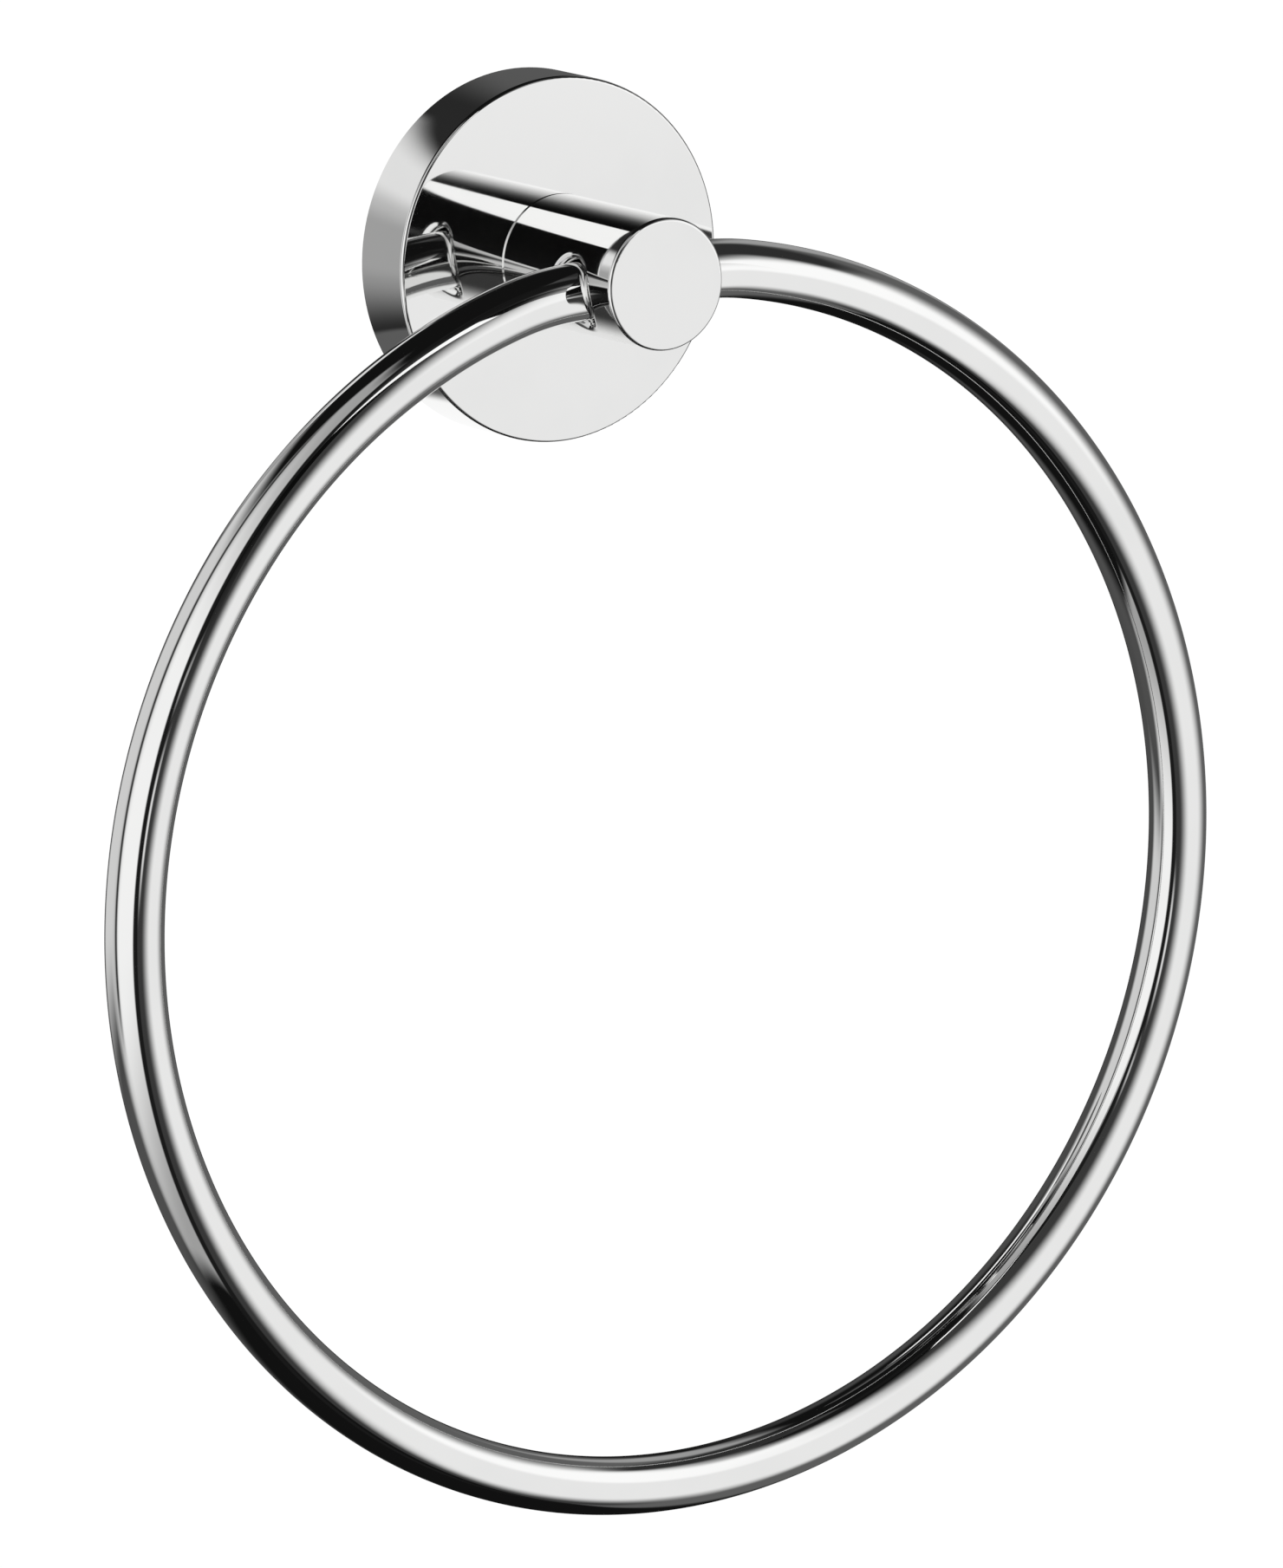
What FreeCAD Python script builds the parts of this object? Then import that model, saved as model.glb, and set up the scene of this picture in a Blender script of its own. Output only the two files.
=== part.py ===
import FreeCAD, Part
import math
import os
import re
import Sketcher

# Towel ring: a round rod bent into a ring, held in the cross bore of a short turned
# post that stands on a round wall rosette. The rosette hides a plate screwed to the wall.
# Frame: millimetres, +Z up. The wall is the plane Y = 0, the fitting stands out from it
# towards -Y, and the origin is the point of the wall on the axis of the post.

# Driving dimensions, in millimetres. Each one is a cell of the sheet.
SIZES = {
    # Rosette, a turned cup with its open side on the wall
    "rosette_diameter": 50.0,
    "rosette_depth": 10.6,
    "rosette_side_wall": 3.0,
    "rosette_front_wall": 2.6,
    "rosette_front_round": 0.5,
    "rosette_back_break": 0.3,
    # Post, from its seat on the rosette to its flat front
    "post_diameter": 18.0,
    "post_length": 27.1,
    "post_front_round": 0.5,
    "post_seat_break": 0.25,
    # Spigot behind the post, with two flats that stop it from turning in the rosette
    "spigot_diameter": 10.0,
    "spigot_flats": 8.0,
    "spigot_shortfall": 0.3,
    "spigot_clearance": 0.1,
    # Cross bore of the post, which the rod passes through a little below the post's axis
    "bore_setback": 10.0,
    "bore_drop": 1.0,
    "bore_clearance": 0.1,
    "bore_mouth_round": 1.0,
    # Ring, a bent rod whose two straight ends meet inside the bore. Each end leads into
    # the ring by a shoulder, a shorter stretch with a tighter bend
    "ring_radius": 83.7,
    "shoulder_radius": 42.7,
    "rod_diameter": 8.0,
    "rod_end_gap": 1.0,
    "rod_end_chamfer": 1.5,
    # Threads in the post and in the rosette, as plain cylinders on the major diameter
    "post_thread": 6.0,
    "locking_thread": 4.0,
    "thread_clearance": 0.05,
    # Clamp screw, deep in the post, whose cone wedges between the ends of the rod
    "clamp_length": 8.0,
    "clamp_tip_radius": 0.75,
    "clamp_socket": 3.0,
    "clamp_socket_depth": 3.0,
    "clamp_clearance": 0.1,
    # Post screw and its washer, which pull the post against the rosette. The screw ends
    # a little short of the clamp screw
    "screws_gap": 2.05,
    "post_screw_head_diameter": 10.5,
    "post_screw_head_height": 3.3,
    "post_screw_head_round": 2.2,
    "post_screw_socket": 4.0,
    "post_screw_socket_depth": 2.1,
    "washer_diameter": 12.0,
    "washer_hole": 6.4,
    "washer_thickness": 1.2,
    # Wall plate, screwed to the wall through two countersunk holes
    "plate_clearance": 0.3,
    "plate_thickness": 6.0,
    "plate_opening": 16.0,
    "plate_hole": 4.5,
    "plate_countersink": 8.6,
    "plate_hole_spacing": 28.0,
    "plate_edge_break": 0.3,
    # Locking screw, under the rosette, whose cone sits in a groove round the plate
    "locking_length": 4.0,
    "locking_tip_radius": 0.5,
    "locking_socket": 2.0,
    "locking_socket_depth": 1.6,
    "locking_recess": 0.3,
    "locking_mouth_break": 0.25,
    "groove_floor_width": 1.0,
    "groove_clearance": 0.15,
    # The locking screw stands this much nearer to the room than the groove, so that its
    # cone pulls the rosette back against the wall
    "groove_pull": 0.05,
}

# Dimensions that follow from the ones above.
WORKED_OUT = {
    "rosette_radius": "=rosette_diameter / 2",
    "post_radius": "=post_diameter / 2",
    "rod_radius": "=rod_diameter / 2",
    # The rod is straight as far as the post's surface. From there the shoulder touches the
    # end's line and the ring's circle, so that the end lies this far above the centre
    "shoulder_reach": "=ring_radius - shoulder_radius",
    "end_height": "=shoulder_radius + sqrt(shoulder_reach ^ 2 - post_radius ^ 2)",
    "bore_radius": "=rod_radius + bore_clearance",
    "bore_place": "=post_length - bore_setback",
    "ring_from_wall": "=rosette_depth + bore_place",
    "cup_depth": "=rosette_depth - rosette_front_wall",
    "cup_radius": "=rosette_radius - rosette_side_wall",
    "spigot_length": "=rosette_front_wall - spigot_shortfall",
    "post_thread_radius": "=post_thread / 2",
    "post_tapping_radius": "=post_thread_radius + thread_clearance",
    # Where the flat of the clamp's tip ends up, measured from the axis of the rod
    "notch_place": "=rod_radius - rod_end_chamfer - rod_end_gap / 2",
    "clamp_tip_place": "=notch_place + clamp_tip_radius + clamp_clearance",
    "clamp_from_wall": "=ring_from_wall - clamp_tip_place - clamp_length",
    "screw_seat": "=cup_depth - washer_thickness",
    "post_screw_length": "=clamp_from_wall - screw_seat - screws_gap",
    "plate_radius": "=cup_radius - plate_clearance",
    "locking_thread_radius": "=locking_thread / 2",
    "locking_tapping_radius": "=locking_thread_radius + thread_clearance",
    "locking_end_radius": "=rosette_radius - locking_recess",
    "groove_floor_radius": "=locking_end_radius - locking_length - groove_clearance",
    "groove_floor_half": "=groove_floor_width / 2",
    "groove_mouth_half": "=groove_floor_half + plate_radius - groove_floor_radius",
    "groove_from_wall": "=plate_thickness / 2",
    "locking_from_wall": "=groove_from_wall + groove_pull",
}

TOLERANCE = 0.001

document = FreeCAD.newDocument("TowelRing")
sheet = document.addObject("Spreadsheet::Sheet", "Dimensions")


def fill_sheet():
    """Write every dimension to its own row of the sheet: its name, then its value."""
    for row, (alias, content) in enumerate({**SIZES, **WORKED_OUT}.items(), start=1):
        sheet.set(f"A{row}", alias)
        sheet.set(f"B{row}", str(content))
        sheet.setAlias(f"B{row}", alias)
    document.recompute()


def from_sheet(formula):
    """Turn a formula of aliases into an expression that reads them from the sheet."""
    return re.sub(r"[a-z]+(_[a-z]+)+", r"Dimensions.\g<0>", formula)


def value(formula):
    """The present value of a formula of aliases."""
    return float(sheet.evalExpression(from_sheet(formula)))


def bind(thing, prop, formula):
    """Tie one property of an object to the sheet."""
    thing.setExpression(prop, from_sheet(formula))


def new_body(label):
    """An empty body for one piece of the fitting."""
    body = document.addObject("PartDesign::Body", label)
    body.Label = label
    return body


def new_feature(body, kind, name):
    """A feature of a body, named after the piece that it shapes."""
    return body.newObject(kind, f"{body.Label}_{name}")


def new_sketch(body, name, plane, offset="0"):
    """An empty sketch on one of the body's own planes, or at an offset in front of it."""
    sketch = new_feature(body, "Sketcher::SketchObject", name)
    origin = next(item for item in body.Origin.OriginFeatures if item.Role == plane)
    sketch.AttachmentSupport = (origin, "")
    sketch.MapMode = "FlatFace"
    bind(sketch, "AttachmentOffset.Base.z", offset)
    return sketch


def tie_point(sketch, geometry, end, across, along):
    """Hold a point of a sketch at a place given by two formulas."""
    for kind, formula in (("DistanceX", across), ("DistanceY", along)):
        constraint = Sketcher.Constraint(kind, -1, 1, geometry, end, value(formula))
        index = sketch.addConstraint(constraint)
        bind(sketch, f"Constraints[{index}]", formula)


def draw_outline(sketch, corners):
    """Draw a closed outline of straight edges through corners given by formulas."""
    places = [FreeCAD.Vector(value(across), value(along), 0) for across, along in corners]
    for start, end in zip(places, places[1:] + places[:1]):
        sketch.addGeometry(Part.LineSegment(start, end))
    last = len(corners) - 1
    for index, (across, along) in enumerate(corners):
        before = index - 1 if index else last
        sketch.addConstraint(Sketcher.Constraint("Coincident", before, 2, index, 1))
        tie_point(sketch, index, 1, across, along)


def draw_circle(sketch, radius, across="0", along="0"):
    """Draw a circle whose centre and radius are given by formulas."""
    centre = FreeCAD.Vector(value(across), value(along), 0)
    normal = FreeCAD.Vector(0, 0, 1)
    index = sketch.addGeometry(Part.Circle(centre, normal, value(radius)))
    tie_point(sketch, index, 3, across, along)
    limit = sketch.addConstraint(Sketcher.Constraint("Radius", index, value(radius)))
    bind(sketch, f"Constraints[{limit}]", radius)


def draw_double_d(sketch, radius, half_flats):
    """Draw a circle with two flats, one on each side, as an outline of arcs and lines."""
    reach = value(radius)
    half = value(half_flats)
    turn = math.acos(half / reach)
    circle = Part.Circle(FreeCAD.Vector(), FreeCAD.Vector(0, 0, 1), reach)
    top = sketch.addGeometry(Part.ArcOfCircle(circle, turn, math.pi - turn))
    bottom = sketch.addGeometry(Part.ArcOfCircle(circle, math.pi + turn, 2 * math.pi - turn))
    rise = reach * math.sin(turn)
    left = sketch.addGeometry(
        Part.LineSegment(FreeCAD.Vector(-half, rise, 0), FreeCAD.Vector(-half, -rise, 0)))
    right = sketch.addGeometry(
        Part.LineSegment(FreeCAD.Vector(half, -rise, 0), FreeCAD.Vector(half, rise, 0)))
    for first, second in ((top, left), (left, bottom), (bottom, right), (right, top)):
        sketch.addConstraint(Sketcher.Constraint("Coincident", first, 2, second, 1))
    for arc in (top, bottom):
        sketch.addConstraint(Sketcher.Constraint("Coincident", arc, 3, -1, 1))
        limit = sketch.addConstraint(Sketcher.Constraint("Radius", arc, reach))
        bind(sketch, f"Constraints[{limit}]", radius)
    for line, side in ((left, "-"), (right, "")):
        sketch.addConstraint(Sketcher.Constraint("Vertical", line))
        formula = f"{side}({half_flats})"
        place = Sketcher.Constraint("DistanceX", -1, 1, line, 1, value(formula))
        bind(sketch, f"Constraints[{sketch.addConstraint(place)}]", formula)


def draw_hexagon(sketch, across_flats):
    """Draw a hexagon of a given width across its flats, with its centre on the origin."""
    corners = [
        (f"{across_flats} / sqrt(3) * cos({angle})", f"{across_flats} / sqrt(3) * sin({angle})")
        for angle in range(0, 360, 60)
    ]
    draw_outline(sketch, corners)


def turn_profile(body, corners):
    """Turn a profile of (radius, place) corners about the body's Y axis."""
    sketch = new_sketch(body, "profile", "XY_Plane")
    draw_outline(sketch, corners)
    turning = new_feature(body, "PartDesign::Revolution", "turning")
    turning.Profile = sketch
    turning.ReferenceAxis = (sketch, ["V_Axis"])
    turning.Angle = 360
    document.recompute()


def cut_pocket(body, name, sketch, depth=None, towards_room=False, both_ways=False):
    """Cut a sketched outline out of a body: to a depth, or right through it if none is given.

    A pocket in an XZ sketch runs towards the wall unless it is told to run to the room.
    """
    pocket = new_feature(body, "PartDesign::Pocket", name)
    pocket.Profile = sketch
    pocket.Type = "Length" if depth else "ThroughAll"
    pocket.Reversed = towards_room
    if both_ways:
        pocket.SideType = "Symmetric"
    if depth:
        bind(pocket, "Length", depth)
    before = body.Shape.Volume
    document.recompute()
    if not body.Shape.Volume < before - TOLERANCE:
        raise RuntimeError(f"{pocket.Name} cuts nothing")


def soften(body, kind, name, size, belongs):
    """Round or chamfer the edges whose every point passes a test.

    kind is Fillet or Chamfer, and size is the formula of its radius or width.
    """
    edges = [
        f"Edge{index}"
        for index, edge in enumerate(body.Shape.Edges, start=1)
        if all(belongs(point) for point in edge.discretize(9))
    ]
    if not edges:
        raise RuntimeError(f"{body.Label} has no edge for {name}")
    base = body.Tip
    feature = new_feature(body, f"PartDesign::{kind}", name)
    feature.Base = (base, edges)
    bind(feature, "Radius" if kind == "Fillet" else "Size", size)
    document.recompute()


def on_rim(radius, place):
    """A test for points on a circle about the Y axis, at a place along it."""
    reach = value(radius)
    height = value(place)

    def belongs(point):
        return (abs(math.hypot(point.x, point.z) - reach) < TOLERANCE
                and abs(point.y - height) < TOLERANCE)

    return belongs


def build_rosette():
    """The rosette: a round cup with a flat polished front, seen edge to edge from the room."""
    body = new_body("rosette")
    turn_profile(body, [
        ("0", "-rosette_depth"),
        ("rosette_radius", "-rosette_depth"),
        ("rosette_radius", "0"),
        ("cup_radius", "0"),
        ("cup_radius", "-cup_depth"),
        ("0", "-cup_depth"),
    ])
    seat = new_sketch(body, "spigot_hole_outline", "XZ_Plane", "rosette_depth")
    draw_double_d(seat, "spigot_diameter / 2 + spigot_clearance", "spigot_flats / 2 + spigot_clearance")
    cut_pocket(body, "spigot_hole", seat)
    tapping = new_sketch(body, "locking_hole_outline", "XY_Plane")
    draw_circle(tapping, "locking_tapping_radius", "0", "-locking_from_wall")
    cut_pocket(body, "locking_hole", tapping)
    rim = value("rosette_radius")
    reach = value("locking_thread")

    def at_hole_mouth(point):
        return (abs(math.hypot(point.x, point.z) - rim) < TOLERANCE
                and abs(point.x) < reach and point.z < 0
                and abs(point.y + value("locking_from_wall")) < reach / 2 + 1)

    soften(body, "Chamfer", "locking_hole_mouth", "locking_mouth_break", at_hole_mouth)
    soften(body, "Fillet", "front_round", "rosette_front_round", on_rim("rosette_radius", "-rosette_depth"))
    soften(body, "Chamfer", "back_break", "rosette_back_break", on_rim("rosette_radius", "0"))
    return body


def build_post():
    """The post: a turned cylinder with a spigot behind and a cross bore near its front.

    Its own Y = 0 is its seat on the rosette. The mouths of the cross bore are rounded,
    and their edge follows the curve of the post.
    """
    body = new_body("post")
    turn_profile(body, [
        ("0", "0"),
        ("post_radius", "0"),
        ("post_radius", "-post_length"),
        ("0", "-post_length"),
    ])
    spigot = new_sketch(body, "spigot_outline", "XZ_Plane")
    draw_double_d(spigot, "spigot_diameter / 2", "spigot_flats / 2")
    pad = new_feature(body, "PartDesign::Pad", "spigot")
    pad.Profile = spigot
    pad.Reversed = True
    bind(pad, "Length", "spigot_length")
    document.recompute()
    bore = new_sketch(body, "cross_bore_outline", "YZ_Plane")
    draw_circle(bore, "bore_radius", "-bore_place", "-bore_drop")
    cut_pocket(body, "cross_bore", bore, both_ways=True)
    outer = value("post_radius")
    inner = value("bore_radius")
    middle = value("bore_place")
    drop = value("bore_drop")

    def at_bore_mouth(point):
        return (abs(math.hypot(point.x, point.z) - outer) < TOLERANCE
                and abs(math.hypot(point.y + middle, point.z + drop) - inner) < TOLERANCE)

    soften(body, "Fillet", "bore_mouths", "bore_mouth_round", at_bore_mouth)
    tapping = new_sketch(body, "axial_hole_outline", "XZ_Plane", "-spigot_length")
    draw_circle(tapping, "post_tapping_radius")
    cut_pocket(body, "axial_hole", tapping, "spigot_length + bore_place", towards_room=True)
    soften(body, "Fillet", "front_round", "post_front_round", on_rim("post_radius", "-post_length"))
    soften(body, "Chamfer", "seat_break", "post_seat_break", on_rim("post_radius", "0"))
    bind(body, "Placement.Base.y", "-rosette_depth")
    return body


def draw_bent_line(sketch):
    """Draw the line that the rod is bent along, from one of its ends round to the other.

    It is a straight end, a shoulder, the ring's own circle about the origin, the other
    shoulder and the other straight end, each one touching the next.
    """
    straight = value("post_radius")
    height = value("end_height")
    half_gap = value("rod_end_gap / 2")
    bend = value("ring_radius")
    shoulder = value("shoulder_radius")
    turn = math.asin(straight / value("shoulder_reach"))
    upright = math.pi / 2
    normal = FreeCAD.Vector(0, 0, 1)

    def straight_end(first, last):
        return Part.LineSegment(FreeCAD.Vector(first, height, 0), FreeCAD.Vector(last, height, 0))

    def shoulder_arc(side, first, last):
        centre = FreeCAD.Vector(side * straight, height - shoulder, 0)
        return Part.ArcOfCircle(Part.Circle(centre, normal, shoulder), first, last)

    circle = Part.Circle(FreeCAD.Vector(), normal, bend)
    right_end = sketch.addGeometry(straight_end(half_gap, straight))
    right_shoulder = sketch.addGeometry(shoulder_arc(1, upright - turn, upright))
    ring = sketch.addGeometry(Part.ArcOfCircle(circle, upright + turn, 5 * upright - turn))
    left_shoulder = sketch.addGeometry(shoulder_arc(-1, upright, upright + turn))
    left_end = sketch.addGeometry(straight_end(-straight, -half_gap))
    sketch.addConstraint(Sketcher.Constraint("Coincident", ring, 3, -1, 1))
    for first, start, second, end in (
        (right_end, 2, right_shoulder, 2),
        (right_shoulder, 1, ring, 2),
        (ring, 1, left_shoulder, 2),
        (left_shoulder, 1, left_end, 1),
    ):
        sketch.addConstraint(Sketcher.Constraint("Tangent", first, start, second, end))
    for line in (right_end, left_end):
        sketch.addConstraint(Sketcher.Constraint("Horizontal", line))
    for arc, formula in (
        (ring, "ring_radius"),
        (right_shoulder, "shoulder_radius"),
        (left_shoulder, "shoulder_radius"),
    ):
        limit = sketch.addConstraint(Sketcher.Constraint("Radius", arc, value(formula)))
        bind(sketch, f"Constraints[{limit}]", formula)
    for line, end, formula in (
        (right_end, 1, "rod_end_gap / 2"),
        (right_end, 2, "post_radius"),
        (left_end, 1, "-post_radius"),
        (left_end, 2, "-rod_end_gap / 2"),
    ):
        place = Sketcher.Constraint("DistanceX", -1, 1, line, end, value(formula))
        bind(sketch, f"Constraints[{sketch.addConstraint(place)}]", formula)


def build_ring():
    """The ring: one round rod, bent to a circle, with chamfered ends that almost meet.

    It is modelled about its own centre. Its two ends lie straight in the bore.
    """
    body = new_body("ring")
    route = new_sketch(body, "bent_line", "XZ_Plane")
    draw_bent_line(route)
    section = new_sketch(body, "rod_section", "YZ_Plane", "rod_end_gap / 2")
    draw_circle(section, "rod_radius", "0", "end_height")
    document.recompute()
    rod = new_feature(body, "PartDesign::AdditivePipe", "rod")
    rod.Profile = section
    rod.Spine = route
    document.recompute()
    gap = value("rod_end_gap")

    def at_rod_end(point):
        return abs(point.x) < gap and point.z > 0

    soften(body, "Chamfer", "end_chamfers", "rod_end_chamfer", at_rod_end)
    bind(body, "Placement.Base.y", "-ring_from_wall")
    bind(body, "Placement.Base.z", "-bore_drop - end_height")
    return body


def build_cone_screw(label, size):
    """A headless screw with a hexagon socket and a cone point, its tip towards -Y.

    size is the first word of its dimensions in the sheet.
    """
    body = new_body(label)
    thread = "post_thread_radius" if size == "clamp" else "locking_thread_radius"
    tip = f"{size}_tip_radius"
    lead = f"{tip} / 2"
    turn_profile(body, [
        ("0", "0"),
        (f"{thread} - {lead}", "0"),
        (thread, f"-{lead}"),
        (thread, f"{thread} - {tip} - {size}_length"),
        (tip, f"-{size}_length"),
        ("0", f"-{size}_length"),
    ])
    socket = new_sketch(body, "socket_outline", "XZ_Plane")
    draw_hexagon(socket, f"{size}_socket")
    cut_pocket(body, "socket", socket, f"{size}_socket_depth", towards_room=True)
    return body


def build_clamp_screw():
    """The screw inside the post that wedges the two ends of the rod apart in the bore."""
    body = build_cone_screw("ring_clamp_screw", "clamp")
    bind(body, "Placement.Base.y", "-clamp_from_wall")
    return body


def build_locking_screw():
    """The screw under the rosette that locks it to the plate on the wall."""
    body = build_cone_screw("rosette_locking_screw", "locking")
    pointing_up = FreeCAD.Rotation(FreeCAD.Vector(1, 0, 0), -90)
    body.Placement = FreeCAD.Placement(FreeCAD.Vector(), pointing_up)
    bind(body, "Placement.Base.y", "-locking_from_wall")
    bind(body, "Placement.Base.z", "-locking_end_radius")
    return body


def build_post_screw():
    """The button head screw that holds the post from inside the rosette.

    Its own Y = 0 is the seat of its head on the washer.
    """
    body = new_body("post_screw")
    lead = "post_thread_radius / 4"
    turn_profile(body, [
        ("0", "post_screw_head_height"),
        ("post_screw_head_diameter / 2", "post_screw_head_height"),
        ("post_screw_head_diameter / 2", "0"),
        ("post_thread_radius", "0"),
        ("post_thread_radius", f"{lead} - post_screw_length"),
        (f"post_thread_radius - {lead}", "-post_screw_length"),
        ("0", "-post_screw_length"),
    ])
    crown = on_rim("post_screw_head_diameter / 2", "post_screw_head_height")
    soften(body, "Fillet", "crown", "post_screw_head_round", crown)
    socket = new_sketch(body, "socket_outline", "XZ_Plane", "-post_screw_head_height")
    draw_hexagon(socket, "post_screw_socket")
    cut_pocket(body, "socket", socket, "post_screw_socket_depth", towards_room=True)
    bind(body, "Placement.Base.y", "-screw_seat")
    return body


def build_washer():
    """The washer between the screw head and the inside of the rosette."""
    body = new_body("post_washer")
    outline = new_sketch(body, "outline", "XZ_Plane")
    draw_circle(outline, "washer_diameter / 2")
    draw_circle(outline, "washer_hole / 2")
    plate = new_feature(body, "PartDesign::Pad", "plate")
    plate.Profile = outline
    bind(plate, "Length", "washer_thickness")
    document.recompute()
    bind(body, "Placement.Base.y", "-screw_seat")
    return body


def build_wall_plate():
    """The plate screwed to the wall, with a groove round its rim for the locking screw."""
    body = new_body("wall_plate")
    turn_profile(body, [
        ("plate_opening / 2", "0"),
        ("plate_radius", "0"),
        ("plate_radius", "groove_mouth_half - groove_from_wall"),
        ("groove_floor_radius", "groove_floor_half - groove_from_wall"),
        ("groove_floor_radius", "-groove_floor_half - groove_from_wall"),
        ("plate_radius", "-groove_mouth_half - groove_from_wall"),
        ("plate_radius", "plate_edge_break - plate_thickness"),
        ("plate_radius - plate_edge_break", "-plate_thickness"),
        ("plate_opening / 2", "-plate_thickness"),
    ])
    centres = new_sketch(body, "screw_hole_centres", "XZ_Plane", "plate_thickness")
    for side in ("", "-"):
        draw_circle(centres, "plate_hole / 2", "0", f"{side}plate_hole_spacing / 2")
    document.recompute()
    holes = new_feature(body, "PartDesign::Hole", "screw_holes")
    holes.Profile = centres
    holes.ThreadType = "None"
    holes.DepthType = "ThroughAll"
    holes.HoleCutType = "Countersink"
    holes.HoleCutCustomValues = True
    holes.HoleCutCountersinkAngle = 90
    bind(holes, "Diameter", "plate_hole")
    bind(holes, "HoleCutDiameter", "plate_countersink")
    before = body.Shape.Volume
    document.recompute()
    if not body.Shape.Volume < before - TOLERANCE:
        raise RuntimeError("the screw holes cut nothing")
    return body


def check(bodies):
    """Stop if any object failed or any piece has no sound solid."""
    for item in document.Objects:
        if "Invalid" in item.State or "Error" in item.State:
            raise RuntimeError(f"{item.Name} is {item.State}")
    for body in bodies:
        shape = body.Shape
        if shape.isNull() or not shape.isValid() or len(shape.Solids) != 1:
            raise RuntimeError(f"{body.Label} is not one valid solid")


def export(bodies):
    """Write each piece to a file named after it, and list its size."""
    os.makedirs("parts", exist_ok=True)
    for body in bodies:
        body.Shape.exportStep(f"parts/{body.Label}.step")
        box = body.Shape.optimalBoundingBox()
        print(f"{body.Label:22} {body.Shape.Volume:10.1f} mm3   "
              f"X {box.XMin:7.2f} {box.XMax:7.2f}   Y {box.YMin:7.2f} {box.YMax:7.2f}   "
              f"Z {box.ZMin:8.2f} {box.ZMax:7.2f}")


fill_sheet()
pieces = [
    build_rosette(),
    build_post(),
    build_ring(),
    build_clamp_screw(),
    build_post_screw(),
    build_washer(),
    build_wall_plate(),
    build_locking_screw(),
]
document.recompute()
check(pieces)
export(pieces)
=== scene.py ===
"""Looks of a wall-mounted towel ring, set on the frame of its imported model.

Lengths are in metres and in the frame of the model: the wall is the plane Y = 0, the
fitting stands out from it towards -Y, +Z is up, and the post's axis is the Y axis.
"""

import logging
import math
from collections.abc import Mapping
from dataclasses import dataclass, field
from enum import Enum
from typing import Any

import bmesh
import bpy
from mathutils import Matrix, Vector


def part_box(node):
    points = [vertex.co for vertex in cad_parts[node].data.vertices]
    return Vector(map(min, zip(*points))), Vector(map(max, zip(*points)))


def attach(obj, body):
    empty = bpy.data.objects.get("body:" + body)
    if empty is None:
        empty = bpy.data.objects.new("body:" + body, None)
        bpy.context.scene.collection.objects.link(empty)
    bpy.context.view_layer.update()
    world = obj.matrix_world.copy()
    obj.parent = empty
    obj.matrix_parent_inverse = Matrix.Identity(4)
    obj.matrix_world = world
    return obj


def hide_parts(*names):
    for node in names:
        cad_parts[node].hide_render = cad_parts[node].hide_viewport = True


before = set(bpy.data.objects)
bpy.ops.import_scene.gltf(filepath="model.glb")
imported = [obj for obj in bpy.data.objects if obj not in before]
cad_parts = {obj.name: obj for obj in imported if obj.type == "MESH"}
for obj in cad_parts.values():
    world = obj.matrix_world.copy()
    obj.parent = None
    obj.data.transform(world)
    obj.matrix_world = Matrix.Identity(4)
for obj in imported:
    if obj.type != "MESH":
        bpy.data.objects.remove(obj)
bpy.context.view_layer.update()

PHOTO_LONG_SIDE = 1809
WHITE = 1.0
MILLIMETRE = 0.001
MICROMETRE = 0.000001
HALF_TURN = 180.0
MERGE_DISTANCE = 0.1 * MICROMETRE
SHARP_ANGLE = 0.5
LOG = logging.getLogger("towel_ring")

Colour = tuple[float, float, float]
Point = tuple[float, float, float]
Limits = tuple[float, float]


class Slot(Enum):
    """The record's material slots."""

    CHROME = "polished_chrome"
    ZINC = "zinc_plate"
    STEEL = "screw_steel"


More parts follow.
